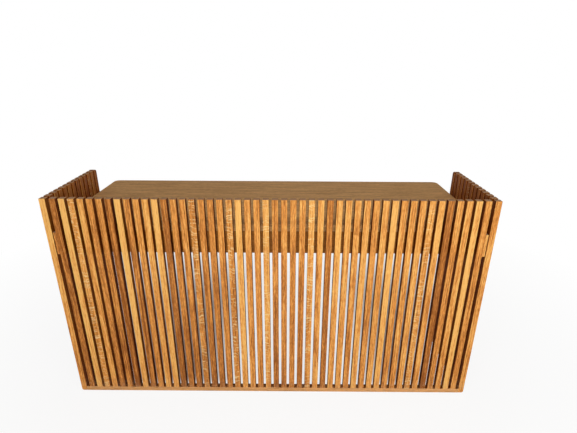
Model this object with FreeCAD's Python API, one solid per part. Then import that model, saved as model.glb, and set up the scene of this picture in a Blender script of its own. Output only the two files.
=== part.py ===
import FreeCAD, Part
import math
import os

# A free-standing reception desk in solid oak.  A screen of upright square slats runs across the
# front and round both ends, and stands above the worktop that it hides.
#
# Frame: millimetres, +Z up, the visitor's side faces -Y.  The origin is on the floor, midway
# across the width and midway between the front of the slats and the rear edge of the worktop.

Vector = FreeCAD.Vector
ACROSS = Vector(1, 0, 0)
BACK = Vector(0, 1, 0)
UP = Vector(0, 0, 1)

# ------------------------------------------------------------------ driving dimensions, in mm
overall_width = 1600.0          # outer face to outer face of the end slats
worktop_height = 750.0          # floor to the writing surface
screen_upstand = 100.0          # how far the slats stand above the worktop
worktop_depth = 550.0           # front edge to rear edge of the board
worktop_thickness = 27.0
side_panel_depth = 400.0        # front face to rear face of each slatted end

slat_size = 22.0                # square section of every slat
slat_gap = 10.1                 # gap wanted between neighbouring slats
corner_gap = 12.4               # wider gap beside each corner slat, where the screws go in

bottom_rail_height = 20.0
upper_rail_height = 86.0
upper_rail_thickness = 22.0

# joints between the slats and the bottom rails
slat_tenon_size = 10.0          # square stub tenon under a slat
slat_tenon_length = 10.0
rail_tenon_thickness = 8.0      # stub tenons on the ends of the bottom rails
rail_tenon_height = 12.0
rail_tenon_length = 5.0
tenon_side_clearance = 0.15
tenon_end_clearance = 0.5

# cover blocks in the two corner gaps, each tied to its corner slat by a loose tongue
block_joint = 3.0               # open joint between a block and its corner slat
loose_tongue_thickness = 4.0
loose_tongue_height = 60.0
loose_tongue_depth = 5.0        # how far it goes into the block, and into the slat

# buttons that hold the worktop down
button_width = 30.0             # along the rail
button_reach = 28.0             # out from the rail
button_thickness = 20.0
button_bevel = 6.0
button_shoulder_gap = 1.0       # lets the button pull the board down on the rail
tongue_thickness = 8.0
tongue_length = 9.0
groove_end_clearance = 1.0
groove_lower_clearance = 0.6
front_button_count = 3
side_button_count = 2
front_button_margin = 160.0     # end of the front rail to the first button's centre
side_button_margin = 70.0       # end of a side rail to its first button's centre

# wood screws, under the head and across; a head height of 0 means a countersunk head
corner_screw = {"length": 60.0, "shank": 5.0, "head": 9.5, "head_height": 0.0}
button_screw = {"length": 30.0, "shank": 4.5, "head": 8.5, "head_height": 2.4}
corner_screw_edge = 18.0        # lower edge of the upper rail to the lower screw
corner_screw_spacing = 40.0
screw_clearance = 0.1
screw_end_clearance = 1.0

# fits and eased edges
worktop_end_clearance = 2.0     # each end of the worktop to the end slats
slat_arris = 1.2
rail_arris = 2.0
block_arris = 0.8
worktop_arris = 2.0
worktop_corner_radius = 25.0    # rear corners of the board
slat_end_radius = 12.0          # rear top corner of each end panel
foot_radius = 8.0               # outer lower corner of each corner slat

# the slats share a limited number of nodes, two or so to a node
front_slat_nodes = 24
side_slat_nodes = 6

# ------------------------------------------------------------------ places that follow
screen_height = worktop_height + screen_upstand
overall_depth = slat_size + worktop_depth
half_width = overall_width / 2
half_inside = half_width - slat_size
half_slat = slat_size / 2

front_y = -overall_depth / 2
slat_back_y = front_y + slat_size
front_rail_back_y = slat_back_y + upper_rail_thickness
worktop_rear_y = slat_back_y + worktop_depth
side_rear_y = front_y + side_panel_depth
rear_slat_front_y = side_rear_y - slat_size

worktop_under_z = worktop_height - worktop_thickness
rail_low_z = worktop_under_z - upper_rail_height
tongue_low_z = worktop_under_z - button_thickness
tongue_high_z = tongue_low_z + tongue_thickness
groove_depth = tongue_length + groove_end_clearance

first_slat_x = half_inside - corner_gap - half_slat
block_width = corner_gap - block_joint
beyond = 1.0                    # how far a tool stands out of what it cuts, or a tenon's root goes in


def evenly(first, last, spacing):
    """Places from first to last, as near to spacing apart as fills the length exactly."""
    steps = max(1, round((last - first) / spacing))
    return [first + (last - first) * i / steps for i in range(steps + 1)]


slat_pitch = slat_size + slat_gap
front_slat_places = evenly(-first_slat_x, first_slat_x, slat_pitch)
side_slat_places = evenly(front_y + half_slat, side_rear_y - half_slat, slat_pitch)


# ------------------------------------------------------------------ drawing and cutting
def box(low, high):
    """A block between two opposite corners, each (x, y, z)."""
    size = [b - a for a, b in zip(low, high)]
    return Part.makeBox(*size, Vector(*low))


def closed_wire(corners):
    """A closed flat outline.  Each corner is a point and the radius that rounds it, or 0."""
    starts, ends, arcs = [], [], []
    for i, (corner, radius) in enumerate(corners):
        to_last = (corners[i - 1][0] - corner).normalize()
        to_next = (corners[(i + 1) % len(corners)][0] - corner).normalize()
        half_angle = to_last.getAngle(to_next) / 2
        reach = radius / math.tan(half_angle)
        inward = (to_last + to_next).normalize()
        middle = corner + inward * (radius / math.sin(half_angle) - radius)
        starts.append(corner + to_last * reach)
        ends.append(corner + to_next * reach)
        arcs.append(middle if radius else None)
    edges = []
    for i, middle in enumerate(arcs):
        if middle:
            edges.append(Part.Arc(starts[i], middle, ends[i]).toShape())
        edges.append(Part.LineSegment(ends[i], starts[(i + 1) % len(starts)]).toShape())
    return Part.Wire(edges)


def prism(outline, origin, along_u, along_v, sweep):
    """Extrude an outline of (u, v) or (u, v, radius) corners, drawn in a plane, along sweep."""
    corners = []
    for u, v, *radius in outline:
        corners.append((origin + along_u * u + along_v * v, radius[0] if radius else 0))
    return Part.Face(closed_wire(corners)).extrude(sweep)


def turned(profile):
    """Revolve a profile of (radius, distance) corners about the Z axis."""
    corners = [(Vector(radius, 0, distance), 0) for radius, distance in profile]
    return Part.Face(closed_wire(corners)).revolve(Vector(), UP, 360)


def aimed(shape, point, direction):
    """Move a shape that is drawn along +Z to a point, and turn it to a direction."""
    shape.Placement = FreeCAD.Placement(point, FreeCAD.Rotation(UP, direction))
    return shape


def mirrored(shape):
    """The left-hand copy of a right-hand piece."""
    return shape.mirror(Vector(), ACROSS)


# ------------------------------------------------------------------ screws and their holes
def head_profile(kind, clearance):
    """The head and the top of the shank: a countersunk head lies flush, any other stands proud."""
    head, shank = kind["head"] / 2 + clearance, kind["shank"] / 2 + clearance
    if kind["head_height"]:
        top = -kind["head_height"]
        return [(0, top), (head, top), (head, 0), (shank, 0)]
    return [(0, 0), (head, 0), (shank, head - shank)]


def screw(kind, point, direction):
    """A wood screw whose head seats on a surface at point."""
    shank, length = kind["shank"] / 2, kind["length"]
    return aimed(turned(head_profile(kind, 0) + [(shank, length), (0, length)]), point, direction)


def screw_hole(kind, point, direction):
    """What the drill and countersink take away for a screw, with its clearance."""
    shank = kind["shank"] / 2 + screw_clearance
    length = kind["length"] + screw_end_clearance
    if kind["head_height"]:
        mouth = [(0, -beyond), (shank, -beyond)]
    else:
        rim = head_profile(kind, screw_clearance)[1:]
        mouth = [(0, -beyond), (rim[0][0], -beyond)] + rim
    return aimed(turned(mouth + [(shank, length), (0, length)]), point, direction)


# right-hand corner: the heads lie behind the middle of the cover block
corner_screw_x = half_inside - corner_gap + block_width / 2
corner_screw_points = []
for height in (corner_screw_edge, corner_screw_edge + corner_screw_spacing):
    corner_screw_points.append(Vector(corner_screw_x, slat_back_y, rail_low_z + height))


# ------------------------------------------------------------------ slats
def slat_outline(low_z, top_radius=0.0, foot=0.0):
    """A slat seen square on, u across it and v up.  Its far side can be rounded at top or foot."""
    far_top = [(half_slat, screen_height - slat_arris), (half_slat - slat_arris, screen_height)]
    if top_radius:
        far_top = [(half_slat, screen_height, top_radius)]
    near_top = [(-half_slat + slat_arris, screen_height), (-half_slat, screen_height - slat_arris)]
    return [(-half_slat, low_z), (half_slat, low_z, foot)] + far_top + near_top


def slat_section():
    """The square section, with its four arrises planed off."""
    near, far = half_slat - slat_arris, half_slat
    return [(near, -far), (far, -near), (far, near), (near, far),
            (-near, far), (-far, near), (-far, -near), (-near, -far)]


def slat(low_z, front_outline, side_outline):
    """A bar with the slat's section, cut to its outline from the front and from the side."""
    body = prism(slat_section(), UP * low_z, ACROSS, BACK, UP * (screen_height - low_z))
    front = prism(front_outline, BACK * -slat_size, ACROSS, UP, BACK * (2 * slat_size))
    side = prism(side_outline, ACROSS * -slat_size, BACK, UP, ACROSS * (2 * slat_size))
    return body.common(front).common(side)


def tenoned_slat():
    """A slat that stands on a bottom rail, with the stub tenon under it."""
    outline = slat_outline(bottom_rail_height)
    half = slat_tenon_size / 2
    low = (-half, -half, bottom_rail_height - slat_tenon_length)
    tenon = box(low, (half, half, bottom_rail_height + beyond))
    return slat(bottom_rail_height, outline, outline).fuse(tenon).removeSplitter()


def slat_mortises(places):
    """The square mortises for slats that stand at these (x, y) places."""
    half = slat_tenon_size / 2 + tenon_side_clearance
    depth = slat_tenon_length + tenon_end_clearance
    mortises = []
    for x, y in places:
        low = (x - half, y - half, bottom_rail_height - depth)
        high = (x + half, y + half, bottom_rail_height + beyond)
        mortises.append(box(low, high))
    return mortises


def rail_tenon(x, y, direction, clearance=0.0, extra_length=0.0):
    """The stub tenon on the end of a bottom rail, or with clearances the mortise for it."""
    half = rail_tenon_thickness / 2 + clearance
    low_z = (bottom_rail_height - rail_tenon_height) / 2 - clearance
    high_z = bottom_rail_height - low_z
    outline = [(-half, low_z), (half, low_z), (half, high_z), (-half, high_z)]
    side = direction.cross(UP)
    start = Vector(x, y, 0) - direction * beyond
    return prism(outline, start, side, UP, direction * (rail_tenon_length + extra_length + beyond))


def rail_mortise(x, y, direction):
    return rail_tenon(x, y, direction, tenon_side_clearance, tenon_end_clearance)


slat_x = half_width - half_slat             # middle of the right-hand end panel's thickness
front_slat_y = front_y + half_slat


def loose_tongue(side_clearance=0.0, end_clearance=0.0):
    """Right-hand loose tongue across the block's open joint, or with clearances its two slots."""
    half = loose_tongue_thickness / 2 + side_clearance
    reach = loose_tongue_depth + end_clearance
    middle_z = rail_low_z + upper_rail_height / 2
    half_height = loose_tongue_height / 2 + end_clearance
    low = (half_inside - block_joint - reach, front_slat_y - half, middle_z - half_height)
    high = (half_inside + reach, front_slat_y + half, middle_z + half_height)
    return box(low, high)


def loose_tongue_slots():
    return loose_tongue(tenon_side_clearance, tenon_end_clearance)


def corner_slat():
    """Right-hand corner slat: it runs to the floor and takes the ends of two bottom rails."""
    body = slat(0.0, slat_outline(0.0, foot=foot_radius), slat_outline(0.0))
    body.translate(Vector(slat_x, front_slat_y, 0))
    front_mortise = rail_mortise(half_inside, front_slat_y, ACROSS)
    side_mortise = rail_mortise(slat_x, slat_back_y, -BACK)
    return body.cut([front_mortise, side_mortise, loose_tongue_slots()])


def rear_slat():
    """Right-hand rear slat: rounded at the top rear corner, and it runs to the floor."""
    body = slat(0.0, slat_outline(0.0), slat_outline(0.0, top_radius=slat_end_radius))
    body.translate(Vector(slat_x, side_rear_y - half_slat, 0))
    return body.cut(rail_mortise(slat_x, rear_slat_front_y, BACK))


def slats_at(places):
    """One tenoned slat at each (x, y) place."""
    pattern = tenoned_slat()
    return [pattern.translated(Vector(x, y, 0)) for x, y in places]


# ------------------------------------------------------------------ rails
def upper_rail_section():
    """Section of an upper rail, u inwards from the slats and v up, with the buttons' groove."""
    deep = upper_rail_thickness
    groove_floor = deep - groove_depth
    groove_low = tongue_low_z - groove_lower_clearance
    return [
        (0, rail_low_z),
        (deep - rail_arris, rail_low_z),
        (deep, rail_low_z + rail_arris),
        (deep, groove_low),
        (groove_floor, groove_low),
        (groove_floor, tongue_high_z),
        (deep, tongue_high_z),
        (deep, worktop_under_z),
        (0, worktop_under_z),
    ]


def front_upper_rail():
    """Full inside width: every front slat is glued and screwed to it from behind."""
    start = Vector(-half_inside, slat_back_y, 0)
    rail = prism(upper_rail_section(), start, BACK, UP, ACROSS * (2 * half_inside))
    holes = [screw_hole(corner_screw, point, BACK) for point in corner_screw_points]
    return rail.cut(holes + [mirrored(hole) for hole in holes])


def side_upper_rail():
    """Right-hand rail: butts on the back of the front rail and carries the end of the worktop."""
    start = Vector(half_inside, front_rail_back_y, 0)
    length = side_rear_y - front_rail_back_y
    rail = prism(upper_rail_section(), start, -ACROSS, UP, BACK * length)
    return rail.cut([screw_hole(corner_screw, point, BACK) for point in corner_screw_points])


def front_bottom_rail():
    """Lies on the floor between the corner slats, flush with the slats that stand on it."""
    rail = box((-half_inside, front_y, 0), (half_inside, slat_back_y, bottom_rail_height))
    right_tenon = rail_tenon(half_inside, front_slat_y, ACROSS)
    rail = rail.fuse([right_tenon, mirrored(right_tenon)]).removeSplitter()
    return rail.cut(slat_mortises([(x, front_slat_y) for x in front_slat_places]))


def side_bottom_rail():
    """Right-hand rail between the corner slat and the rear slat."""
    rail = box((half_inside, slat_back_y, 0), (half_width, rear_slat_front_y, bottom_rail_height))
    tenons = [rail_tenon(slat_x, slat_back_y, -BACK), rail_tenon(slat_x, rear_slat_front_y, BACK)]
    rail = rail.fuse(tenons).removeSplitter()
    return rail.cut(slat_mortises([(slat_x, y) for y in side_slat_places[1:-1]]))


def end_block():
    """Right-hand cover block: fills the corner gap in front of the rail, over the corner screws."""
    outline = [
        (0, slat_size),
        (0, block_arris),
        (block_arris, 0),
        (block_width - block_arris, 0),
        (block_width, block_arris),
        (block_width, slat_size),
    ]
    start = Vector(half_inside - corner_gap, front_y, rail_low_z)
    return prism(outline, start, ACROSS, BACK, UP * upper_rail_height).cut(loose_tongue_slots())


# ------------------------------------------------------------------ worktop and its buttons
def button_outline():
    """A button seen from its end, u outwards from the rail and v up."""
    return [
        (-tongue_length, tongue_low_z),
        (button_reach - button_bevel, tongue_low_z),
        (button_reach, tongue_low_z + button_bevel),
        (button_reach, worktop_under_z),
        (button_shoulder_gap, worktop_under_z),
        (button_shoulder_gap, tongue_high_z),
        (-tongue_length, tongue_high_z),
    ]


def buttons(places, outward, along):
    """A button, its screw and its hole at each place on a rail's inner face."""
    blocks, screws, holes = [], [], []
    for place in places:
        end = place - along * (button_width / 2)
        block = prism(button_outline(), end, outward, UP, along * button_width)
        head = place + outward * (button_reach / 2) + UP * tongue_low_z
        hole = screw_hole(button_screw, head, UP)
        blocks.append(block.cut(hole))
        screws.append(screw(button_screw, head, UP))
        holes.append(hole)
    return blocks, screws, holes


def spread(first, last, count):
    """count places from first to last, both ends included."""
    return [first + (last - first) * i / (count - 1) for i in range(count)]


def front_buttons():
    end = half_inside - front_button_margin
    places = [Vector(x, front_rail_back_y, 0) for x in spread(-end, end, front_button_count)]
    return buttons(places, BACK, ACROSS)


def side_buttons():
    """The right-hand rail's buttons."""
    first = front_rail_back_y + side_button_margin
    last = side_rear_y - side_button_margin
    inner_x = half_inside - upper_rail_thickness
    places = [Vector(inner_x, y, 0) for y in spread(first, last, side_button_count)]
    return buttons(places, -ACROSS, BACK)


def worktop(holes):
    """The board between the end panels, with rounded rear corners and eased edges."""
    end = half_inside - worktop_end_clearance
    outline = [
        (-end, slat_back_y),
        (end, slat_back_y),
        (end, worktop_rear_y, worktop_corner_radius),
        (-end, worktop_rear_y, worktop_corner_radius),
    ]
    board = prism(outline, UP * worktop_under_z, ACROSS, BACK, UP * worktop_thickness)
    board = board.makeChamfer(worktop_arris, board.Faces[-1].Edges + board.Faces[-2].Edges)
    return board.cut(holes)


# ------------------------------------------------------------------ nodes
def shared_out(name, solids, node_count):
    """Share a row of solids over numbered nodes, as evenly as it goes."""
    cuts = [round(i * len(solids) / node_count) for i in range(node_count + 1)]
    digits = len(str(node_count))
    nodes = {}
    for number, (first, last) in enumerate(zip(cuts, cuts[1:]), start=1):
        nodes[f"{name}_{number:0{digits}d}"] = solids[first:last]
    return nodes


def both_hands(name, solids):
    """The right-hand node, and its mirror image on the left."""
    return {f"{name}_right": solids, f"{name}_left": [mirrored(solid) for solid in solids]}


def desk():
    """Every node of the desk, as a list of solids."""
    front_blocks, front_screws, front_holes = front_buttons()
    side_blocks, side_screws, side_holes = side_buttons()
    holes = front_holes + side_holes + [mirrored(hole) for hole in side_holes]
    corner_screws = [screw(corner_screw, point, BACK) for point in corner_screw_points]
    front_slats = slats_at([(x, front_slat_y) for x in front_slat_places])
    side_slats = slats_at([(slat_x, y) for y in side_slat_places[1:-1]])

    nodes = {
        "worktop": [worktop(holes)],
        "front_upper_rail": [front_upper_rail()],
        "front_bottom_rail": [front_bottom_rail()],
        "loose_tongues": [loose_tongue(), mirrored(loose_tongue())],
        "worktop_buttons_front": front_blocks,
        "button_screws_front": front_screws,
    }
    nodes.update(both_hands("side_upper_rail", [side_upper_rail()]))
    nodes.update(both_hands("side_bottom_rail", [side_bottom_rail()]))
    nodes.update(both_hands("corner_slat", [corner_slat()]))
    nodes.update(both_hands("rear_slat", [rear_slat()]))
    nodes.update(both_hands("end_block", [end_block()]))
    nodes.update(both_hands("corner_screws", corner_screws))
    nodes.update(both_hands("worktop_buttons", side_blocks))
    nodes.update(both_hands("button_screws", side_screws))
    nodes.update(shared_out("front_slats", front_slats, front_slat_nodes))
    nodes.update(shared_out("side_slats_right", side_slats, side_slat_nodes))
    left_slats = [mirrored(solid) for solid in side_slats]
    nodes.update(shared_out("side_slats_left", left_slats, side_slat_nodes))
    return nodes


def write(nodes):
    """One STEP file to a node."""
    os.makedirs("parts", exist_ok=True)
    for name, solids in nodes.items():
        shape = solids[0] if len(solids) == 1 else Part.makeCompound(solids)
        shape.exportStep(f"parts/{name}.step")
        print(f"{name:24s} {len(solids):2d} solid(s)  {shape.Volume / 1000:9.1f} cm3")


write(desk())
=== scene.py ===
import math
import random
from functools import partial

import bmesh
import bpy
from bpy.props import FloatProperty, FloatVectorProperty, PointerProperty
from bpy.types import Operator, Panel, PropertyGroup
from mathutils import Matrix, Vector


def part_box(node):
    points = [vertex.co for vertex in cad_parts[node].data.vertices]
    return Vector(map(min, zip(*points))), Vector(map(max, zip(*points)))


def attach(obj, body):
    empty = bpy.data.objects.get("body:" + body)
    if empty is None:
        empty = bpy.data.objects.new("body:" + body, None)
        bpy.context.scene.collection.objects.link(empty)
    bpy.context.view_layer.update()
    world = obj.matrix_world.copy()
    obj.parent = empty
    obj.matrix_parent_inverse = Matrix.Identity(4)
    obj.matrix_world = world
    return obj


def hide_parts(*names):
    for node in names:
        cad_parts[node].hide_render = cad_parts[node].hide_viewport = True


# The looks of a free-standing oak reception desk: a screen of upright square slats round the
# front and both ends, with a worktop board behind it.  Metres, +Z up, the visitor's side is -Y.

bl_info = {
    "name": "Slatted oak reception desk",
    "version": (1, 0, 0),
    "blender": (4, 5, 0),
    "location": "View3D > Sidebar > Desk",
    "description": "Models and finishes a reception desk with a screen of oak slats",
    "category": "Object",
}

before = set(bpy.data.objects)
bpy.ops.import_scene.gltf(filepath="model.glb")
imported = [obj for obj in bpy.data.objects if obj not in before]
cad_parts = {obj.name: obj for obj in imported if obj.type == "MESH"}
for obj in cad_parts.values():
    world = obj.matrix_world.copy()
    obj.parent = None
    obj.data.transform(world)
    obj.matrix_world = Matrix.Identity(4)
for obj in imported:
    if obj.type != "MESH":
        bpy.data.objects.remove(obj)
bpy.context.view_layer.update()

BODY = "root"
MM = 0.001
ACROSS, BACK, UP = Vector((1, 0, 0)), Vector((0, 1, 0)), Vector((0, 0, 1))
SIDES = {"left": -1, "right": 1}


# -------- places read from the frame
def nodes_called(start):
    """The nodes whose names start this way, in their order along the desk."""
    return sorted(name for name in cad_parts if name.startswith(start))


FRONT_NODES = nodes_called("front_slats_")
SIDE_NODES = {side: nodes_called(f"side_slats_{side}_") for side in SIDES}
CORNER_LOW, CORNER_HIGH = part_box("corner_slat_right")
REAR_LOW, REAR_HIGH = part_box("rear_slat_right")
RAIL_LOW, RAIL_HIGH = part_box("front_upper_rail")
SIDE_RAIL_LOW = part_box("side_upper_rail_right")[0]
BUTTON_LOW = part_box("worktop_buttons_front")[0]

SLAT = CORNER_HIGH.x - CORNER_LOW.x            # side of the slats' square section
SCREEN_TOP = CORNER_HIGH.z
BOTTOM_RAIL_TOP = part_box("front_bottom_rail")[1].z
HALF_INSIDE = CORNER_LOW.x                     # middle of the desk to the inner face of an end

# -------- the front slats, from the left
# They are sawn from many boards, so no two neighbours match: pale sapwood, honey and brown
# heartwood, faces cut along the rays, faces with dark streaks, and some that darken downwards.
PALE_SLATS = (2, 8, 12, 21, 38, 47)
HONEY_SLATS = (4, 11, 24, 29, 30, 32, 33, 35, 37, 41, 42, 43, 46)
BROWN_SLATS = (1, 7, 13, 31, 44)
FIGURED_SLATS = (3, 16, 20, 24, 29, 42)
STREAKED_SLATS = (6, 7, 9, 15, 17, 25, 28, 39)
DARKENING_SLATS = (5, 6, 9, 14, 15, 17, 18, 25, 28, 29)
SLAT_SEED, BOTTOM_RAIL_SEED, UPPER_RAIL_SEED, WORKTOP_SEED = 71, 5, 6, 9

# A tone runs from 0, the darkest heartwood, to 1, pale sapwood, and over 1 its dark marks show
# less.  Each slat draws its own from the range of its kind.  At its foot, the darkening is taken
# off it.
ORANGE_TONES, PALE_TONES = (0.66, 0.78), (1.02, 1.1)
HONEY_TONES, BROWN_TONES = (0.84, 0.92), (0.36, 0.46)
SIDE_TONES = (0.45, 0.9)
# The darkening at the foot is in part painted shade: the light falls off down the screen.
DARKENING, STRONG_DARKENING, SIDE_DARKENING = (0.04, 0.2), 0.34, (0, 0.2)

# How much ray figure and how many dark streaks a slat shows, 1 for the most.
FAINT_FIGURE, SIDE_FIGURE = 0.12, 0.05
STREAK_CHOICES, SIDE_STREAK_CHOICES, HEAVY_STREAKS = (0, 0.2, 0.45), (0, 0.3), 0.9
FIGURED_SHARE = 0.25            # the chance that a side slat has ray figure

# The angle that a slat is sawn at, as lay_grain takes it: any, or one that bares the rays.
ANY_CUT, RAY_CUT, SIDE_RAY_CUT = (25, 90), (0, 4), 87

# Tones of the corner slats, at the top and at the foot, and of the cover blocks beside them.
CORNER_TONES = {"left": (1.02, 0.6), "right": (0.74, 0.74)}
BLOCK_TONES = {"left": 0.54, "right": 0.88}
INNER_SHADE = 0.8                # how much painted shade the end panels' inner faces get, next to a gap's 1
RAIL_SHADE = 0.2                 # and the upper rails' faces, towards the slats


def linear(code):
    """An sRGB hex colour as linear red, green and blue."""
    shares = [int(code[i:i + 2], 16) / 255 for i in (1, 3, 5)]
    return [s / 12.92 if s <= 0.04045 else ((s + 0.055) / 1.055) ** 2.4 for s in shares]


def colour_property(name, description, code):
    """A colour that the user can change."""
    return FloatVectorProperty(name=name, description=description, default=linear(code),
                               subtype="COLOR", size=3, min=0, max=1)


def length_property(name, description, millimetres):
    """A length that the user can change."""
    return FloatProperty(name=name, description=description, default=millimetres * MM,
                         min=0, unit="LENGTH", precision=4)


class DeskSizes(PropertyGroup):
    """Sizes that belong to the finish and not to the construction."""
    slat_arris: length_property("Slat arris", "Radius of the slats' sanded edges", 1.4)
    rail_arris: length_property("Rail arris", "Radius of the rails' sanded edges", 1.6)
    block_arris: length_property("Block arris", "Radius of the cover blocks' front edges", 0.8)
    worktop_arris: length_property("Worktop arris", "Radius of the worktop's edges", 2.5)
    worktop_corner: length_property("Worktop corner", "Radius of the worktop's rear corners", 25)
    foot_radius: length_property("Foot radius", "Rounded outer foot of the corner slats", 8)
    panel_radius: length_property("Panel radius", "Rounded top rear corner of the end panels", 12)
    groove_depth: length_property("Groove depth", "Depth of the groove that holds the buttons", 10)
    groove_height: length_property("Groove height", "Height of that groove", 8.6)
    groove_room: length_property("Groove room", "Room in the groove under a button's tongue", 0.6)
    screw_head: length_property("Screw head", "Diameter of the slat screws' heads", 8)


class DeskColours(PropertyGroup):
    """Colours of the wood, the screws and the floor."""
    dark_oak: colour_property("Dark oak", "Mineral streaks and the darkest heartwood", "#8a4e22")
    brown_oak: colour_property("Brown oak", "Heartwood", "#b47035")
    orange_oak: colour_property("Orange oak", "Most of the oiled oak", "#e09448")
    pale_oak: colour_property("Pale oak", "Sapwood and the lightest boards", "#f4bb69")
    ray_fleck: colour_property("Ray fleck", "Ribbons of ray tissue on faces cut along them", "#f2d698")
    end_grain: colour_property("End grain", "Sawn ends, which drink the most oil", "#ae8866")
    # The gap tint is painted shade for the faces inside the gaps, where little light reaches them.
    gap_shade: colour_property("Gap tint", "What oil and dust leave of the colour in a gap", "#88642c")
    rail_light: colour_property("Rail light", "Light grain of the bottom rails", "#eaac6c")
    rail_dark: colour_property("Rail dark", "Dark grain of the bottom rails", "#a06c3c")
    inner_light: colour_property("Inner light", "Light grain of the upper rails", "#c4803e")
    inner_dark: colour_property("Inner dark", "Dark grain of the upper rails", "#8a5020")
    worktop_light: colour_property("Worktop light", "Light grain of the worktop", "#ecb678")
    worktop_dark: colour_property("Worktop dark", "Dark grain of the worktop", "#9a6e40")
    dust: colour_property("Dust", "Pale scuffs at the foot of the slats", "#c8a27a")
    zinc: colour_property("Zinc", "Zinc plating of the screws", "#c9c5ba")
    floor: colour_property("Floor", "Pale studio floor", "#e6e4e0")


# -------- modelling tools
FLAT = 1e-5                 # points nearer than this to a plane lie in it
FACING = 0.9                # cosine above which a face looks in a direction
ARRIS_STEPS = 3             # facets round a sanded edge
CORNER_STEPS = 10           # facets round a corner that is plain to see
SHARP_ANGLE = 40            # an edge turned by more than this is sanded, in degrees
SMOOTH_ANGLE = 50           # and one turned by less than this is shaded smooth


def deselect_all():
    if bpy.context.object and bpy.context.object.mode != "OBJECT":
        bpy.ops.object.mode_set(mode="OBJECT")
    bpy.ops.object.select_all(action="DESELECT")


def add_block(name, low, high):
    """A squared block of wood between two opposite corners, with its place in its mesh."""
    deselect_all()
    low, high = Vector(low), Vector(high)
    bpy.ops.mesh.primitive_cube_add(size=1, location=(low + high) / 2, scale=high - low)
    bpy.ops.object.transform_apply(location=True, rotation=True, scale=True)
    block = bpy.context.object
    block.name = block.data.name = name
    return block


def select(piece, kind, wanted):
    """Go to edit mode and select what passes a test: edges by their two ends, or faces by their
    centre and normal."""
    bpy.ops.object.mode_set(mode="EDIT")
    bpy.ops.mesh.select_mode(type=kind)
    bpy.ops.mesh.select_all(action="DESELECT")
    shape = bmesh.from_edit_mesh(piece.data)
    if kind == "EDGE":
        for edge in shape.edges:
            edge.select_set(wanted(edge.verts[0].co, edge.verts[1].co))
    else:
        for face in shape.faces:
            face.select_set(wanted(face.calc_center_median(), face.normal))
    bmesh.update_edit_mesh(piece.data)


def near(a, b):
    return abs(a - b) < FLAT


def both_at(axis, place):
    """A test for edges that lie in one plane square to an axis."""
    return lambda a, b: near(a[axis], place) and near(b[axis], place)


def along_axis(axis):
    """A test for edges that run along an axis."""
    others = [i for i in range(3) if i != axis]
    return lambda a, b: all(near(a[i], b[i]) for i in others)


def round_edges(piece, wanted, radius, steps=ARRIS_STEPS):
    """Round the edges that pass a test."""
    select(piece, "EDGE", wanted)
    bpy.ops.mesh.bevel(offset=radius, segments=steps, profile=0.5, affect="EDGES",
                       clamp_overlap=True)
    bpy.ops.object.mode_set(mode="OBJECT")


def soften(piece):
    """Shade the rounded edges smooth, and keep the flat faces flat."""
    deselect_all()
    piece.select_set(True)
    bpy.context.view_layer.objects.active = piece
    bpy.ops.object.shade_smooth_by_angle(angle=math.radians(SMOOTH_ANGLE))
    weighting = piece.modifiers.new("Flat faces", "WEIGHTED_NORMAL")
    weighting.keep_sharp = True
    bpy.ops.object.modifier_apply(modifier=weighting.name)
    return piece


def copied(pattern, name, shift):
    """A copy with its own mesh, moved by shift inside that mesh."""
    copy = pattern.copy()
    copy.data = pattern.data.copy()
    copy.data.transform(Matrix.Translation(shift))
    copy.name = copy.data.name = name
    bpy.context.scene.collection.objects.link(copy)
    return copy


def discard(pattern):
    bpy.data.objects.remove(pattern)


def finish_piece(piece, material, slot, *replaced):
    """Paint a finished piece, let it ride with the desk and hide the nodes that it replaces."""
    piece.data.materials.clear()
    piece.data.materials.append(material)
    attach(piece, BODY)
    if replaced:
        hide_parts(*replaced)


# -------- the log that each piece comes from
PITH_DISTANCE = 90.0        # typical distance of a piece from the pith of its log, in mm
PITH_SPREAD = (0.6, 1.3)    # the least and the most of it
LOG_LENGTH = 4000.0         # in mm
LOG_LEAN = 14.0             # how far a sawn piece can lean off the pith, in mm to a metre


def lay_grain(piece, along, dice, tone=0.6, foot_tone=None, figure=0.1, streaks=0.1, sawn=None):
    """Give a piece its own place in a log: where each point lies, in mm from the pith.

    along is the axis that the grain runs in.  tone runs from 0, the darkest heartwood, to 1,
    pale sapwood, and foot_tone is the tone at the low end of the piece.  sawn is the angle from
    the rays to the first of the two cross axes, in degrees: 0 puts the ray figure on the face
    square to the second.
    """
    first, second = [axis for axis in range(3) if axis != along]
    angle = math.radians(dice.uniform(*ANY_CUT) if sawn is None else sawn)
    turn = Matrix.Rotation(angle * dice.choice((-1, 1)), 2)
    low, high = [Vector(f(v.co[i] for v in piece.data.vertices) for i in range(3)) for f in (min, max)]
    middle = (low + high) / 2
    pith = PITH_DISTANCE * dice.uniform(*PITH_SPREAD)
    lean = Vector((dice.uniform(-LOG_LEAN, LOG_LEAN), dice.uniform(-LOG_LEAN, LOG_LEAN)))
    start = dice.uniform(0, LOG_LENGTH)
    foot_tone = tone if foot_tone is None else foot_tone
    places, characters = [], []
    for vertex in piece.data.vertices:
        offset = (vertex.co - middle) / MM
        cross = turn @ Vector((offset[first], offset[second])) + lean * (offset[along] * MM)
        places += [cross.x + pith, cross.y, offset[along] + start]
        height = (vertex.co[along] - low[along]) / (high[along] - low[along])
        characters += [foot_tone + (tone - foot_tone) * height, figure, streaks]
    piece.data.attributes.new("grain", "FLOAT_VECTOR", "POINT").data.foreach_set("vector", places)
    character = piece.data.attributes.new("character", "FLOAT_VECTOR", "POINT")
    character.data.foreach_set("vector", characters)


def paint_gap_shade(piece, shares):
    """Say how much painted shade the faces that look into a gap get, where little light reaches them.

    shares holds pairs of a direction and a share, 1 for the full painted shade.
    """
    shades = []
    for face in piece.data.polygons:
        seen = [share for way, share in shares if face.normal.dot(way) > FACING]
        shades.append(max(seen, default=0))
    piece.data.attributes.new("gap", "FLOAT", "FACE").data.foreach_set("value", shades)


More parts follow.
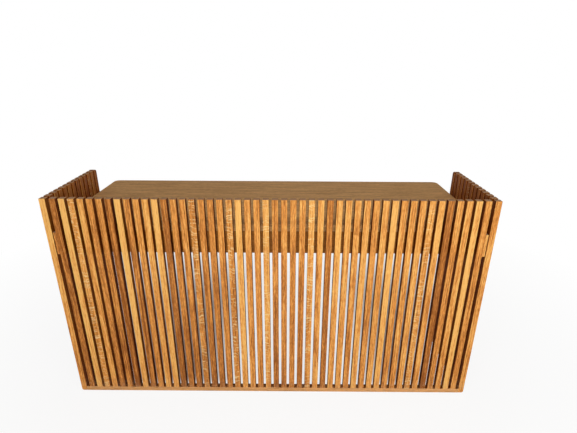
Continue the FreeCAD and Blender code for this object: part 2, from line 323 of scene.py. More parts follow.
# -------- materials
def add_node(tree, kind, inputs=None, **settings):
    """Add a node.  An input is a value, an output to link, or a node whose first output is meant."""
    made = tree.nodes.new(kind)
    for name, value in settings.items():
        setattr(made, name, value)
    for key, value in (inputs or {}).items():
        if isinstance(value, bpy.types.Node):
            value = value.outputs[0]
        if isinstance(value, bpy.types.NodeSocket):
            tree.links.new(value, made.inputs[key])
        else:
            made.inputs[key].default_value = value
    return made


def new_material(name):
    """An empty material, and the function that adds a node to it."""
    material = bpy.data.materials.new(name)
    material.use_nodes = True
    material.node_tree.nodes.clear()
    return material, partial(add_node, material.node_tree)


def opaque(colour):
    return (*colour, 1)


def repeats(sizes):
    """How often a pattern of these sizes repeats along each axis."""
    return [1 / size for size in sizes]


# Sizes of the figure in European oak, in mm: two across the log and one along it.
WANDER, WANDER_SHIFT = (60, 60, 330), 9     # the rings wander slowly, because no log is straight
RING_WIDTH = 5.5                            # a year's growth, 2 to 4 in truth, coarse to show
SPRING_SHARE = 0.6                          # the part of it in which spring wood fades
PORE = (0.9, 0.9, 32)                       # open vessels, 0.3 wide in truth, coarse to show
SUMMER_PORES = 0.4                          # how many are left in summer wood, of spring's 1
FIBRE = (3.2, 3.2, 140)                     # rows of vessels, which show as lengthwise lines
DASH = (2.6, 2.6, 17)                       # ends of the rays and knots of vessels, short dashes
CLOUD = (15, 15, 160)                       # slow changes of tone
STREAK = (4.5, 4.5, 520)                    # mineral streaks
RAY = (60, 6, 4)                            # ray sheets: outwards, round the pith, and along it
RAY_BREAK = (12, 5, 8)                      # how soon one of them ends
RAY_TILT = 0.4                              # how steeply they cross the face
CURL, CURL_SHIFT = (24, 24, 70), 26         # how the rays curl
FLARE = (90, 90, 90)                        # how far one patch of rays reaches
SCUFF, SCUFF_HEIGHTS = 11, (20, 70)         # scuffs, and the heights between which they fade

# Each of them is noise between 0 and 1: where in it the pattern starts, and where it is full.
PORE_LIMITS = STREAK_LIMITS = (0.5, 0.66)
RAY_LIMITS, BREAK_LIMITS, FLARE_LIMITS = (0.55, 0.62), (0.36, 0.46), (0.3, 0.55)
TONE_LIMITS = (0.3, 0.7)
SCUFF_LIMITS = (0.42, 0.62)

# How far each of them moves the tone.
CLOUD_DEPTH = 0.18
FIBRE_DEPTH = 0.22
DASH_DEPTH = 0.22
SPRING_DEPTH = 0.22
PORE_DEPTH = 0.16
STREAK_DEPTH = 0.45
FLECK_DEPTH = 0.7                           # the share of a fleck's own colour in it
SCUFF_DEPTH = 0.35                          # the share of dust in a scuff, at the floor
TONE_STEPS = 3                              # steps between the colours of a wood

END_LIMITS = (0.55, 0.9)                    # cosines from the grain: sawn ends start, and are full
END_RINGS = 0.4                             # how dark the rings and the pores are in them
OAK_ROUGHNESS = (0.6, 0.8)                  # of planed wood, and in its pores
SPRING_DENT = 0.3                           # how deep spring wood lies, next to a pore's 1
DENT_DEPTH, DENT_STRENGTH = 0.12, 0.5       # how deep that 1 is, in mm, and how much of it shows
OAK_IOR, OIL_SHEEN = 1.5, 0.04
SPANGLE, SPANGLE_DEPTH = 1.5, 0.03          # the unevenness of zinc plating, in mm
ZINC_ROUGHNESS = (0.3, 0.5)


def oiled_oak(name, tones, along, turned=None):
    """European oak, sawn, planed and oiled: warm and matt, with open pores and ray flecks.

    tones are its four colours from dark to pale, and along is the direction of its grain.  The
    small carried-over pieces have no grain of their own, and take turned, the turn that lays
    their length along Z.
    """
    colours = bpy.context.scene.desk_colours
    material, add = new_material(name)

    def pattern(place, sizes, limits, result=(0, 1), detail=2):
        """Noise of these sizes, which goes from one result to the other between its limits."""
        place = add("ShaderNodeMapping", {"Vector": place, "Scale": repeats(sizes)})
        noise = add("ShaderNodeTexNoise", {"Vector": place, "Scale": 1.0, "Detail": detail})
        return add("ShaderNodeMapRange", {"Value": noise, "From Min": limits[0],
                                          "From Max": limits[1], "To Min": result[0],
                                          "To Max": result[1]})

    coordinates = add("ShaderNodeTexCoord")
    if turned is None:
        grain = add("ShaderNodeAttribute", attribute_name="grain").outputs["Vector"]
        character = add("ShaderNodeAttribute", attribute_name="character").outputs["Vector"]
        tone, figure, streaks = add("ShaderNodeSeparateXYZ", {0: character}).outputs
        gap = add("ShaderNodeAttribute", attribute_name="gap").outputs["Fac"]
    else:
        grain = add("ShaderNodeMapping", {"Vector": coordinates.outputs["Object"],
                                          "Location": (PITH_DISTANCE, 0, 0), "Rotation": turned,
                                          "Scale": (1 / MM, 1 / MM, 1 / MM)})
        tone, figure, streaks, gap = 0.5, 0.05, 0.1, 0.0

    # Rings round the pith, which wander a little along the log.
    wander = add("ShaderNodeTexNoise", {"Scale": 1.0, "Detail": 1.0, "Vector": add(
        "ShaderNodeMapping", {"Vector": grain, "Scale": repeats(WANDER)})})
    shift = add("ShaderNodeVectorMath", {0: wander.outputs["Color"],
                                         1: (2 * WANDER_SHIFT, 2 * WANDER_SHIFT, 0),
                                         2: (-WANDER_SHIFT, -WANDER_SHIFT, 0)},
                operation="MULTIPLY_ADD")
    bent = add("ShaderNodeVectorMath", {0: grain, 1: shift}, operation="ADD")
    x, y, z = add("ShaderNodeSeparateXYZ", {0: bent}).outputs
    radius = add("ShaderNodeVectorMath", {0: add("ShaderNodeCombineXYZ", {0: x, 1: y})},
                 operation="LENGTH").outputs["Value"]
    angle = add("ShaderNodeMath", {0: y, 1: x}, operation="ARCTAN2")

    # A year starts with a dark line of wide spring pores, and fades into dense summer wood.
    year = add("ShaderNodeMath", {0: radius, 1: RING_WIDTH}, operation="DIVIDE")
    year = add("ShaderNodeMath", {0: year}, operation="FRACT")
    spring = add("ShaderNodeMapRange", {"Value": year, "From Max": SPRING_SHARE, "To Min": 1.0,
                                        "To Max": 0.0})
    crowding = add("ShaderNodeMath", {0: spring, 1: 1 - SUMMER_PORES, 2: SUMMER_PORES},
                   operation="MULTIPLY_ADD")
    pores = add("ShaderNodeMath", {0: pattern(grain, PORE, PORE_LIMITS), 1: crowding},
                operation="MULTIPLY")

    # Rays are thin sheets that run out from the pith.  Cut along, they show as pale ribbons.
    arc = add("ShaderNodeMath", {0: angle, 1: PITH_DISTANCE}, operation="MULTIPLY")
    curl = add("ShaderNodeTexNoise", {"Scale": 1.0, "Vector": add(
        "ShaderNodeMapping", {"Vector": grain, "Scale": repeats(CURL)})})
    curled = add("ShaderNodeMath", {0: curl, 1: CURL_SHIFT, 2: z}, operation="MULTIPLY_ADD")
    curled = add("ShaderNodeMath", {0: arc, 1: RAY_TILT, 2: curled}, operation="MULTIPLY_ADD")
    ray_place = add("ShaderNodeCombineXYZ", {0: radius, 1: arc, 2: curled})
    flecks = pattern(ray_place, RAY, RAY_LIMITS, detail=0)
    for share in (pattern(ray_place, RAY_BREAK, BREAK_LIMITS, detail=0),
                  pattern(grain, FLARE, FLARE_LIMITS, detail=1), figure, FLECK_DEPTH):
        flecks = add("ShaderNodeMath", {0: flecks, 1: share}, operation="MULTIPLY")

    # Clouds, rows of vessels and dashes make the wood paler or darker, and the rest only darker.
    # Together they move it between its four colours.
    shade = tone
    for place, sizes, depth, detail in ((grain, CLOUD, CLOUD_DEPTH, 3), (bent, FIBRE, FIBRE_DEPTH, 2),
                                        (grain, DASH, DASH_DEPTH, 2)):
        effect = pattern(place, sizes, TONE_LIMITS, (-depth, depth), detail)
        shade = add("ShaderNodeMath", {0: shade, 1: effect}, operation="ADD")
    mineral = add("ShaderNodeMath", {0: pattern(bent, STREAK, STREAK_LIMITS), 1: streaks},
                  operation="MULTIPLY")
    for effect, depth in ((spring, SPRING_DEPTH), (pores, PORE_DEPTH), (mineral, STREAK_DEPTH)):
        shade = add("ShaderNodeMath", {0: effect, 1: -depth, 2: shade}, operation="MULTIPLY_ADD")
    colour = opaque(tones[0])
    for i, tone_colour in enumerate(tones[1:]):
        share = add("ShaderNodeMapRange", {"Value": shade, "From Min": i / TONE_STEPS,
                                           "From Max": (i + 1) / TONE_STEPS})
        colour = add("ShaderNodeMix", {0: share, 6: colour, 7: opaque(tone_colour)},
                     data_type="RGBA").outputs[2]

    # Sawn ends drink more oil, and show the rings and the pores as dark dots.
    facing = add("ShaderNodeVectorMath", {0: coordinates.outputs["Normal"], 1: along},
                 operation="DOT_PRODUCT").outputs["Value"]
    facing = add("ShaderNodeMath", {0: facing}, operation="ABSOLUTE")
    ends = add("ShaderNodeMapRange", {"Value": facing, "From Min": END_LIMITS[0],
                                      "From Max": END_LIMITS[1]})
    rings = add("ShaderNodeMath", {0: spring, 1: pores}, operation="ADD")
    rings = add("ShaderNodeMath", {0: rings, 1: END_RINGS}, operation="MULTIPLY")
    end_colour = add("ShaderNodeMix", {0: rings, 6: opaque(colours.end_grain), 7: opaque(tones[0])},
                     data_type="RGBA").outputs[2]

    # Shoes and brooms leave pale scuffs just above the floor.
    place = coordinates.outputs["Object"]
    height = add("ShaderNodeSeparateXYZ", {0: place}).outputs[2]
    low = add("ShaderNodeMapRange", {"Value": height, "From Min": SCUFF_HEIGHTS[0] * MM,
                                     "From Max": SCUFF_HEIGHTS[1] * MM, "To Min": SCUFF_DEPTH,
                                     "To Max": 0.0})
    scuffs = pattern(place, [SCUFF * MM] * 3, SCUFF_LIMITS, detail=3)
    scuffs = add("ShaderNodeMath", {0: scuffs, 1: low}, operation="MULTIPLY")

    # Faces in a gap get painted shade, since little light reaches them, and the scuffs lie over it.
    for share, cover, blend in ((flecks, opaque(colours.ray_fleck), "MIX"), (ends, end_colour, "MIX"),
                                (gap, opaque(colours.gap_shade), "MULTIPLY"),
                                (scuffs, opaque(colours.dust), "MIX")):
        colour = add("ShaderNodeMix", {0: share, 6: colour, 7: cover}, data_type="RGBA",
                     blend_type=blend).outputs[2]

    rough = add("ShaderNodeMapRange", {"Value": pores, "To Min": OAK_ROUGHNESS[0],
                                       "To Max": OAK_ROUGHNESS[1]})
    dents = add("ShaderNodeMath", {0: spring, 1: SPRING_DENT, 2: pores}, operation="MULTIPLY_ADD")
    bump = add("ShaderNodeBump", {"Height": dents, "Distance": DENT_DEPTH * MM,
                                  "Strength": DENT_STRENGTH}, invert=True)
    surface = add("ShaderNodeBsdfPrincipled", {"Base Color": colour, "Roughness": rough,
                                               "IOR": OAK_IOR, "Specular IOR Level": OIL_SHEEN,
                                               "Normal": bump})
    add("ShaderNodeOutputMaterial", {"Surface": surface})
    return material


def zinc_plated_steel():
    """Turned steel with zinc plating: dull silver, and slightly uneven."""
    colours = bpy.context.scene.desk_colours
    material, add = new_material("zinc_plated_steel")
    place = add("ShaderNodeTexCoord").outputs["Object"]
    spangle = add("ShaderNodeTexNoise", {"Vector": place, "Scale": 1 / (SPANGLE * MM)})
    rough = add("ShaderNodeMapRange", {"Value": spangle, "To Min": ZINC_ROUGHNESS[0],
                                       "To Max": ZINC_ROUGHNESS[1]})
    bump = add("ShaderNodeBump", {"Height": spangle, "Distance": SPANGLE_DEPTH * MM})
    surface = add("ShaderNodeBsdfPrincipled", {"Base Color": opaque(colours.zinc), "Metallic": 1.0,
                                               "Roughness": rough, "Normal": bump})
    add("ShaderNodeOutputMaterial", {"Surface": surface})
    return material


def slat_oak():
    """The oak of the slats and the cover blocks."""
    name = "oiled_oak_slats"
    if name in bpy.data.materials:
        return bpy.data.materials[name]
    colours = bpy.context.scene.desk_colours
    tones = (colours.dark_oak, colours.brown_oak, colours.orange_oak, colours.pale_oak)
    return oiled_oak(name, tones, UP)


def two_tone_oak(name, light, dark, along, turned=None):
    """Oak of one board, whose tones all lie between a dark and a light one."""
    light, dark = Vector(light), Vector(dark)
    tones = [dark.lerp(light, step / TONE_STEPS) for step in range(TONE_STEPS + 1)]
    return oiled_oak(name, tones, along, turned)


# -------- slats
def standing_slat(shares):
    """A slat that stands on a bottom rail, modelled on the Z axis: sanded edges, square foot."""
    sizes = bpy.context.scene.desk_sizes
    half = SLAT / 2
    slat = add_block("slat_pattern", (-half, -half, BOTTOM_RAIL_TOP), (half, half, SCREEN_TOP))
    foot = both_at(2, BOTTOM_RAIL_TOP)
    round_edges(slat, lambda a, b: not foot(a, b), sizes.slat_arris)
    soften(slat)
    paint_gap_shade(slat, shares)
    return slat


def row_of_slats(nodes, axis):
    """Number, node and middle of each slat in a row of nodes that hold one or two each."""
    row = []
    for node in nodes:
        low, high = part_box(node)
        first, last = low[axis] + SLAT / 2, high[axis] - SLAT / 2
        for place in (first,) if near(first, last) else (first, last):
            middle = (low + high) / 2
            middle.z = 0
            middle[axis] = place
            row.append((len(row) + 1, node, middle))
    return row


def front_character(number, dice):
    """Tone, ray figure, streaks and cut of one front slat."""
    tone = dice.uniform(*ORANGE_TONES)
    figure = dice.uniform(0, FAINT_FIGURE)
    streaks = dice.choice(STREAK_CHOICES)
    sawn = dice.uniform(*ANY_CUT)
    if number in PALE_SLATS:
        tone = dice.uniform(*PALE_TONES)
        streaks = 0
    if number in HONEY_SLATS:
        tone = dice.uniform(*HONEY_TONES)
    if number in BROWN_SLATS:
        tone = dice.uniform(*BROWN_TONES)
    if number in FIGURED_SLATS:
        figure = 1.0
        sawn = dice.uniform(*RAY_CUT)
    if number in STREAKED_SLATS:
        streaks = HEAVY_STREAKS
    darkening = STRONG_DARKENING if number in DARKENING_SLATS else dice.uniform(*DARKENING)
    return {"tone": tone, "foot_tone": tone - darkening, "figure": figure, "streaks": streaks,
            "sawn": sawn}


class DESK_OT_front_slats(Operator):
    """Model the slats of the front screen"""
    bl_idname = "desk.front_slats"
    bl_label = "Front slats"

    def execute(self, context):
        pattern = standing_slat([(ACROSS, 1.0), (-ACROSS, 1.0)])
        for number, node, place in row_of_slats(FRONT_NODES, 0):
            dice = random.Random(SLAT_SEED + number)
            slat = copied(pattern, f"front_slat_{number:02d}", place)
            lay_grain(slat, 2, dice, **front_character(number, dice))
            finish_piece(slat, slat_oak(), "oak_slat", node)
        discard(pattern)
        return {"FINISHED"}


class DESK_OT_side_slats(Operator):
    """Model the slats of the two end panels"""
    bl_idname = "desk.side_slats"
    bl_label = "Side slats"

    def execute(self, context):
        for side, sign in SIDES.items():
            pattern = standing_slat([(BACK, 1.0), (-BACK, 1.0), (-sign * ACROSS, INNER_SHADE)])
            for number, node, place in row_of_slats(SIDE_NODES[side], 1):
                dice = random.Random(f"{side} {number}")
                slat = copied(pattern, f"side_slat_{side}_{number:02d}", place)
                tone = dice.uniform(*SIDE_TONES)
                figured = dice.random() < FIGURED_SHARE
                lay_grain(slat, 2, dice, tone=tone, foot_tone=tone - dice.uniform(*SIDE_DARKENING),
                          figure=1.0 if figured else SIDE_FIGURE,
                          streaks=dice.choice(SIDE_STREAK_CHOICES),
                          sawn=SIDE_RAY_CUT if figured else None)
                finish_piece(slat, slat_oak(), "oak_slat", node)
            discard(pattern)
        return {"FINISHED"}


class DESK_OT_corner_slats(Operator):
    """Model the two corner slats and the two rear slats, which run to the floor"""
    bl_idname = "desk.corner_slats"
    bl_label = "Corner and rear slats"

    def execute(self, context):
        sizes = context.scene.desk_sizes
        rear_top = both_at(1, REAR_HIGH.y), both_at(2, REAR_HIGH.z)
        for side, sign in SIDES.items():
            dice = random.Random(f"corner {side}")
            inward = -sign * ACROSS
            low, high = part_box(f"corner_slat_{side}")
            outer_foot = both_at(0, high.x if sign > 0 else low.x), both_at(2, low.z)
            tone, foot_tone = CORNER_TONES[side]
            self.tall_slat("corner", side, outer_foot, sizes.foot_radius,
                           [(inward, 1.0), (BACK, 1.0)], dice, tone=tone, foot_tone=foot_tone,
                           sawn=60)
            self.tall_slat("rear", side, rear_top, sizes.panel_radius,
                           [(-BACK, 1.0), (inward, INNER_SHADE)], dice, tone=0.6, figure=0.1,
                           streaks=0.4)
        return {"FINISHED"}

    @staticmethod
    def tall_slat(kind, side, planes, radius, shares, dice, **character):
        """A slat that runs to the floor, rounded where two planes meet and sanded elsewhere."""
        node = f"{kind}_slat_{side}"
        slat = add_block(f"{kind}_slat_piece_{side}", *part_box(node))
        round_edges(slat, lambda a, b: all(plane(a, b) for plane in planes), radius, CORNER_STEPS)
        sanding = slat.modifiers.new("Arris", "BEVEL")
        sanding.width = bpy.context.scene.desk_sizes.slat_arris
        sanding.segments = ARRIS_STEPS
        sanding.limit_method = "ANGLE"
        sanding.angle_limit = math.radians(SHARP_ANGLE)
        bpy.ops.object.modifier_apply(modifier=sanding.name)
        soften(slat)
        paint_gap_shade(slat, shares)
        lay_grain(slat, 2, dice, **character)
        finish_piece(slat, slat_oak(), "oak_slat", node)


# -------- rails and cover blocks
def bottom_rail(name, low, high, axis, dice, material, node):
    """A rail on the floor, with its long edges sanded."""
    sizes = bpy.context.scene.desk_sizes
    rail = add_block(name, low, high)
    round_edges(rail, along_axis(axis), sizes.rail_arris / 2)
    soften(rail)
    # Its top is seen only between the slats, and gets a gap's painted shade.
    paint_gap_shade(rail, [(UP, 1.0)])
    lay_grain(rail, axis, dice, tone=0.95, foot_tone=0.68, figure=0.1, streaks=0.6)
    finish_piece(rail, material, "oak_rail", node)


def upper_rail(name, node, axis, inward, dice, material):
    """A rail behind the slats, with the buttons' groove along its inner face."""
    sizes = bpy.context.scene.desk_sizes
    low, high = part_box(node)
    rail = add_block(name, low, high)
    cross = 1 - axis
    inner = high[cross] if inward[cross] > 0 else low[cross]
    groove_floor = inner - inward[cross] * sizes.groove_depth
    groove_low = BUTTON_LOW.z - sizes.groove_room
    groove_high = groove_low + sizes.groove_height
    for place, normal in ((UP * groove_low, UP), (UP * groove_high, UP),
                          (inward * inward[cross] * groove_floor, inward)):
        bpy.ops.object.mode_set(mode="EDIT")
        bpy.ops.mesh.select_all(action="SELECT")
        bpy.ops.mesh.bisect(plane_co=place, plane_no=normal)
    select(rail, "FACE", lambda c, n: near(c[cross], inner) and groove_low < c.z < groove_high)
    bpy.ops.mesh.extrude_region_move(
        TRANSFORM_OT_translate={"value": -inward * sizes.groove_depth})

    # The groove runs out at both ends of the rail, so nothing closes it there.
    middle = (inner + groove_floor) / 2
    select(rail, "FACE", lambda c, n: near(c[cross], middle) and groove_low < c.z < groove_high
           and abs(n[axis]) > FACING)
    bpy.ops.mesh.delete(type="FACE")
    bpy.ops.mesh.select_all(action="SELECT")
    bpy.ops.mesh.remove_doubles(threshold=FLAT)
    bpy.ops.object.mode_set(mode="OBJECT")
    long_edge = along_axis(axis)
    round_edges(rail, lambda a, b: long_edge(a, b) and near(a[cross], inner) and near(a.z, low.z),
                sizes.rail_arris)
    soften(rail)
    paint_gap_shade(rail, [(-inward, RAIL_SHADE)])
    lay_grain(rail, axis, dice, tone=0.8, figure=0.08, streaks=0.3)
    finish_piece(rail, material, "oak_rail", node)


class DESK_OT_rails(Operator):
    """Model the bottom rails and the upper rails"""
    bl_idname = "desk.rails"
    bl_label = "Rails"

    def execute(self, context):
        colours = context.scene.desk_colours
        bottom = [two_tone_oak(f"oiled_oak_{name}", colours.rail_light, colours.rail_dark, along)
                  for name, along in (("front_bottom_rail", ACROSS), ("side_bottom_rails", BACK))]
        upper = [two_tone_oak(f"oiled_oak_{name}", colours.inner_light, colours.inner_dark, along)
                 for name, along in (("front_upper_rail", ACROSS), ("side_upper_rails", BACK))]
        low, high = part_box("front_bottom_rail")
        low.x, high.x = -HALF_INSIDE, HALF_INSIDE
        bottom_rail("front_bottom_rail_piece", low, high, 0, random.Random(BOTTOM_RAIL_SEED),
                    bottom[0], "front_bottom_rail")
        upper_rail("front_upper_rail_piece", "front_upper_rail", 0, BACK,
                   random.Random(UPPER_RAIL_SEED), upper[0])
        for side, sign in SIDES.items():
            low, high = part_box(f"side_bottom_rail_{side}")
            low.y, high.y = CORNER_HIGH.y, REAR_LOW.y
            bottom_rail(f"side_bottom_rail_piece_{side}", low, high, 1,
                        random.Random(f"bottom {side}"), bottom[1], f"side_bottom_rail_{side}")
            upper_rail(f"side_upper_rail_piece_{side}", f"side_upper_rail_{side}", 1,
                       -sign * ACROSS, random.Random(f"upper {side}"), upper[1])
        return {"FINISHED"}


class DESK_OT_blocks(Operator):
    """Model the cover blocks beside the corner slats"""
    bl_idname = "desk.blocks"
    bl_label = "Cover blocks"

    def execute(self, context):
        sizes = context.scene.desk_sizes
        for side in SIDES:
            node = f"end_block_{side}"
            low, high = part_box(node)
            block = add_block(f"cover_block_{side}", low, high)
            round_edges(block, both_at(1, low.y), sizes.block_arris)
            soften(block)
            paint_gap_shade(block, [(ACROSS, 1.0), (-ACROSS, 1.0)])
            lay_grain(block, 2, random.Random(node), tone=BLOCK_TONES[side])
            finish_piece(block, slat_oak(), "oak_block", node)
        return {"FINISHED"}


# -------- worktop
class DESK_OT_worktop(Operator):
    """Model the worktop board"""
    bl_idname = "desk.worktop"
    bl_label = "Worktop"

    def execute(self, context):
        sizes, colours = context.scene.desk_sizes, context.scene.desk_colours
        low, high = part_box("worktop")
        board = add_block("worktop_board", low, high)
        rear, upright = both_at(1, high.y), along_axis(2)
        round_edges(board, lambda a, b: rear(a, b) and upright(a, b), sizes.worktop_corner,
                    CORNER_STEPS)
        top, underside = both_at(2, high.z), both_at(2, low.z)
        round_edges(board, lambda a, b: top(a, b) or underside(a, b), sizes.worktop_arris)
        soften(board)
        paint_gap_shade(board, [])
        lay_grain(board, 0, random.Random(WORKTOP_SEED), tone=0.7, figure=0.04, streaks=0.2,
                  sawn=90)
        material = two_tone_oak("oiled_oak_worktop", colours.worktop_light, colours.worktop_dark,
                                ACROSS)
        finish_piece(board, material, "oak_worktop", "worktop")
        return {"FINISHED"}


# -------- buttons, tongues and screws
BUTTONS = {"front": 3, "left": 2, "right": 2}       # on each upper rail
HEAD_FACETS = 24
HEAD_ROUNDING = 0.45            # of a head's height
RECESS = (0.56, 0.13)           # length and width of the cross recess, of a head's diameter
HEAD_PROUD = 0.6 * MM           # how far a slat screw's head stands out of its rail
HEAD_ROOM = 2.5 * MM            # between that head and the end of the rail
STAGGER = 9 * MM                # how far the slat screws stand above and below their line


def paint_node(name, material):
    """Give a carried-over node its finish."""
    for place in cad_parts[name].material_slots:
        place.material = material


def screw_head(diameter, height):
    """A low domed head with a cross recess, modelled on the Z axis with its seat at the origin."""
    deselect_all()
    bpy.ops.mesh.primitive_cylinder_add(vertices=HEAD_FACETS, radius=diameter / 2, depth=height,
                                        location=(0, 0, height / 2))
    bpy.ops.object.transform_apply(location=True, rotation=True, scale=True)
    head = bpy.context.object
    round_edges(head, both_at(2, height), height * HEAD_ROUNDING)
    for turn in (45, 135):
        deselect_all()
        size = (diameter * RECESS[0], diameter * RECESS[1], height)
        bpy.ops.mesh.primitive_cube_add(size=1, location=(0, 0, height), scale=size,
                                        rotation=(0, 0, math.radians(turn)))
        cutter = bpy.context.object
        cut = head.modifiers.new("Recess", "BOOLEAN")
        cut.object = cutter
        cut.solver = "EXACT"
        bpy.context.view_layer.objects.active = head
        bpy.ops.object.modifier_apply(modifier=cut.name)
        discard(cutter)
    return soften(head)


def heads_at(name, pattern, places, direction, *replaced):
    """A group of screw heads, one at each place, facing a direction."""
    turn = UP.rotation_difference(direction).to_matrix().to_4x4()
    heads = []
    for place in places:
        head = copied(pattern, name, Vector())
        head.data.transform(Matrix.Translation(place) @ turn)
        heads.append(head)
    deselect_all()
    for head in heads:
        head.select_set(True)
    bpy.context.view_layer.objects.active = heads[0]
    bpy.ops.object.join()
    group = bpy.context.object
    group.name = group.data.name = name
    finish_piece(group, bpy.data.materials["zinc_plated_steel"], "zinc_steel_screw", *replaced)


class DESK_OT_fixings(Operator):
    """Finish the buttons and tongues, and model the heads of the screws"""
    bl_idname = "desk.fixings"
    bl_label = "Fixings"

    def execute(self, context):
        sizes, colours = context.scene.desk_sizes, context.scene.desk_colours
        bare = two_tone_oak("bare_oak_buttons", colours.worktop_light, colours.worktop_dark,
                            ACROSS, turned=(0, math.radians(90), 0))
        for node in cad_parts:
            if "buttons" in node or "tongue" in node:
                paint_node(node, bare)
        zinc = zinc_plated_steel()
        for side in SIDES:
            paint_node(f"corner_screws_{side}", zinc)
        self.button_screws()
        self.slat_screws(sizes.screw_head)
        return {"FINISHED"}

    @staticmethod
    def button_screws():
        """The heads under the buttons, evenly spread along each upper rail."""
        low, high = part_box("button_screws_front")
        diameter = high.y - low.y
        pattern = screw_head(diameter, BUTTON_LOW.z - low.z)
        for rail, count in BUTTONS.items():
            axis = 0 if rail == "front" else 1
            low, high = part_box(f"button_screws_{rail}")
            first, last = low[axis] + diameter / 2, high[axis] - diameter / 2
            places = []
            for i in range(count):
                place = (low + high) / 2
                place.z = BUTTON_LOW.z
                place[axis] = first + (last - first) * i / (count - 1)
                places.append(place)
            heads_at(f"button_screw_heads_{rail}", pattern, places, -UP, f"button_screws_{rail}")
        discard(pattern)

    @staticmethod
    def slat_screws(diameter):
        """One screw into each slat, staggered so that the rail doesn't split along its grain."""
        pattern = screw_head(diameter, HEAD_PROUD * 2)
        margin = diameter / 2 + HEAD_ROOM
        height = (RAIL_LOW.z + BUTTON_LOW.z) / 2
        inner = SIDE_RAIL_LOW.x
        places = []
        for number, node, place in row_of_slats(FRONT_NODES, 0):
            x = max(-inner + margin, min(inner - margin, place.x))
            z = height + STAGGER * (-1) ** number
            places.append(Vector((x, RAIL_HIGH.y - HEAD_PROUD, z)))
        heads_at("slat_screw_heads_front", pattern, places, BACK)
        for side, sign in SIDES.items():
            x = sign * (inner + HEAD_PROUD)
            places = []
            for number, node, place in row_of_slats(SIDE_NODES[side], 1):
                y = max(SIDE_RAIL_LOW.y + margin, place.y)
                places.append(Vector((x, y, height + STAGGER * (-1) ** number)))
            places.append(Vector((x, (REAR_LOW.y + REAR_HIGH.y) / 2, height)))
            heads_at(f"slat_screw_heads_{side}", pattern, places, -sign * ACROSS)
        discard(pattern)


# -------- floor, light and camera
FLOOR_SIZE = 400.0
FLOOR_GLOW = 0.88                   # how white the camera sees the floor near the desk
SHADOW_REACH, WHITE_REACH = 0.9, 2.2    # how far off it starts to go white, and is white
GLOW_FADE_SPREAD = 0.45                # how the glow's fade behind the desk widens, away from the key lamp
GLOW_MIDDLE = 0.1                   # where along the desk the glow behind the screen is kept, a painted pool of light

# Where the glow's fade starts and where it is full, and the share of it before it starts: away from
# the glowing middle, inwards from its sides, behind the screen, and forwards from its far end.
GLOW_FADE_EDGES = ((0.2, 0.48, 0.1), (0.9, 0.55, 0.0), (-0.27, -0.2, 0.0), (1.2, 0.3, 0.0))

# Each soft lamp's name, place, target, width, height and power in watts.
LAMPS = (("key", (0.35, -2.4, 1.2), (0, -0.286, 0.55), 3.0, 0.8, 37),
         ("high_front", (0.2, -1.5, 2.7), (0, 0, 0.6), 2.0, 0.6, 22),
         ("rear_fill", (0.0, 2.6, 0.55), (0, 0, 0.5), 2.0, 0.7, 20),
         ("left_fill", (-3.0, 0.1, 0.9), (-0.8, -0.08, 0.4), 1.2, 0.8, 14),
         ("right_fill", (3.0, 0.1, 0.9), (0.8, -0.08, 0.4), 1.2, 0.8, 14))
AIR_LIGHT = 0.13                    # how bright the world is, where the camera doesn't see it

CAMERA_PLACE = Vector((0.0663, -1.6027, 1.3056))
CAMERA_LENS, CAMERA_SENSOR = 25.255, 36                         # mm
CAMERA_DOWN, CAMERA_PAN, CAMERA_ROLL = 21.395, 0.126, 0.304     # degrees


def seen_directly(add):
    """1 for what the camera sees, also in a mirror or through glass."""
    path = add("ShaderNodeLightPath")
    seen = path.outputs["Is Camera Ray"]
    for way in ("Is Transmission Ray", "Is Glossy Ray"):
        seen = add("ShaderNodeMath", {0: seen, 1: path.outputs[way]}, operation="MAXIMUM")
    return seen


def pale_floor():
    """Matt painted floor: its shadows stay near the desk, and further off it goes white."""
    colours = bpy.context.scene.desk_colours
    material, add = new_material("matt_pale_floor")
    place = add("ShaderNodeTexCoord").outputs["Object"]
    reach = add("ShaderNodeVectorMath", {0: place}, operation="LENGTH").outputs["Value"]
    glow = add("ShaderNodeMapRange", {"Value": reach, "From Min": SHADOW_REACH,
                                      "From Max": WHITE_REACH, "To Min": FLOOR_GLOW})

    # Behind the screen the glow fades, most towards the ends, so that the desk's own shadow shows
    # there; in the middle it stays, a painted pool of light.  The paint is the same all over.
    x, y = add("ShaderNodeSeparateXYZ", {0: place}).outputs[:2]
    aside = add("ShaderNodeMath", {0: x, 1: GLOW_MIDDLE}, operation="SUBTRACT")
    aside = add("ShaderNodeMath", {0: aside}, operation="ABSOLUTE")
    outwards = add("ShaderNodeMath", {0: x}, operation="ABSOLUTE")
    outwards = add("ShaderNodeMath", {0: y, 1: -GLOW_FADE_SPREAD, 2: outwards},
                   operation="MULTIPLY_ADD")
    glow_fade = 1.0
    for along, (start, full, least) in zip((aside, outwards, y, y), GLOW_FADE_EDGES):
        part = add("ShaderNodeMapRange", {"Value": along, "From Min": start, "From Max": full,
                                          "To Min": least}, interpolation_type="SMOOTHSTEP")
        glow_fade = add("ShaderNodeMath", {0: part, 1: glow_fade}, operation="MULTIPLY")
    glow = add("ShaderNodeMath", {0: glow_fade, 1: -FLOOR_GLOW, 2: glow}, operation="MULTIPLY_ADD")
    share = add("ShaderNodeMath", {0: seen_directly(add), 1: glow}, operation="MULTIPLY")
    paint = add("ShaderNodeBsdfDiffuse", {"Color": opaque(colours.floor)})
    white = add("ShaderNodeEmission", {"Color": (1, 1, 1, 1), "Strength": 1.0})
    mix = add("ShaderNodeMixShader", {0: share, 1: paint, 2: white})
    add("ShaderNodeOutputMaterial", {"Surface": mix})
    return material


def add_softbox(name, place, target, width, height, watts):
    """A soft lamp that points at a target and isn't seen itself."""
    turn = (Vector(target) - Vector(place)).to_track_quat("-Z", "Y").to_euler()
    bpy.ops.object.light_add(type="AREA", location=place, rotation=turn)
    lamp = bpy.context.object
    lamp.name = name
    lamp.data.shape = "RECTANGLE"
    lamp.data.size = width
    lamp.data.size_y = height
    lamp.data.energy = watts
    lamp.visible_camera = False


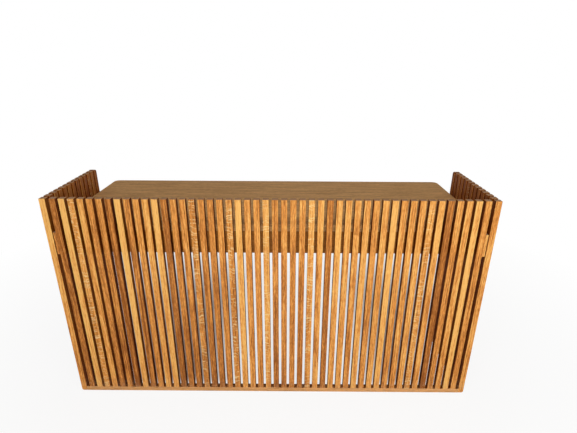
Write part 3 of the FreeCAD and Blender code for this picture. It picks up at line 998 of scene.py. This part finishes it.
class DESK_OT_stage(Operator):
    """Set up the floor, the lamps, the world and the camera"""
    bl_idname = "desk.stage"
    bl_label = "Stage"

    def execute(self, context):
        deselect_all()
        bpy.ops.mesh.primitive_plane_add(size=FLOOR_SIZE)
        floor = context.object
        floor.name = "floor"
        floor.data.materials.append(pale_floor())

        for lamp in LAMPS:
            add_softbox(*lamp)

        world = bpy.data.worlds.new("studio")
        context.scene.world = world
        world.use_nodes = True
        world.node_tree.nodes.clear()
        add = partial(add_node, world.node_tree)
        air, white = [add("ShaderNodeBackground", {"Color": (1, 1, 1, 1), "Strength": strength})
                      for strength in (AIR_LIGHT, 1.0)]
        mix = add("ShaderNodeMixShader", {0: seen_directly(add), 1: air, 2: white})
        add("ShaderNodeOutputWorld", {"Surface": mix})

        bpy.ops.object.camera_add(location=CAMERA_PLACE)
        camera = context.object
        camera.data.sensor_fit = "HORIZONTAL"
        camera.data.sensor_width = CAMERA_SENSOR
        camera.data.lens = CAMERA_LENS
        pan = Matrix.Rotation(math.radians(CAMERA_PAN), 3, "Z")
        down = Matrix.Rotation(math.radians(90 - CAMERA_DOWN), 3, "X")
        roll = Matrix.Rotation(math.radians(CAMERA_ROLL), 3, "Z")
        camera.rotation_euler = (pan @ down @ roll).to_euler()
        context.scene.camera = camera
        context.scene.view_settings.view_transform = "Standard"
        return {"FINISHED"}


class DESK_PT_pieces(Panel):
    """Lists the desk's sizes, colours and pieces"""
    bl_label = "Reception desk"
    bl_space_type = "VIEW_3D"
    bl_region_type = "UI"
    bl_category = "Desk"

    def draw(self, context):
        layout = self.layout
        for group in (context.scene.desk_sizes, context.scene.desk_colours):
            box = layout.box()
            for name in group.bl_rna.properties.keys():
                if name not in ("rna_type", "name"):
                    box.prop(group, name)
        for operator in OPERATORS:
            layout.operator(operator.bl_idname)


OPERATORS = (DESK_OT_front_slats, DESK_OT_side_slats, DESK_OT_corner_slats, DESK_OT_rails,
             DESK_OT_blocks, DESK_OT_worktop, DESK_OT_fixings, DESK_OT_stage)
CLASSES = (DeskSizes, DeskColours, *OPERATORS, DESK_PT_pieces)


def register():
    for cls in CLASSES:
        bpy.utils.register_class(cls)
    bpy.types.Scene.desk_sizes = PointerProperty(type=DeskSizes)
    bpy.types.Scene.desk_colours = PointerProperty(type=DeskColours)


def unregister():
    del bpy.types.Scene.desk_colours
    del bpy.types.Scene.desk_sizes
    for cls in reversed(CLASSES):
        bpy.utils.unregister_class(cls)


def main():
    """Build every piece and the stage."""
    register()
    for operator in OPERATORS:
        group, name = operator.bl_idname.split(".")
        getattr(getattr(bpy.ops, group), name)()


if __name__ == "__main__":
    main()
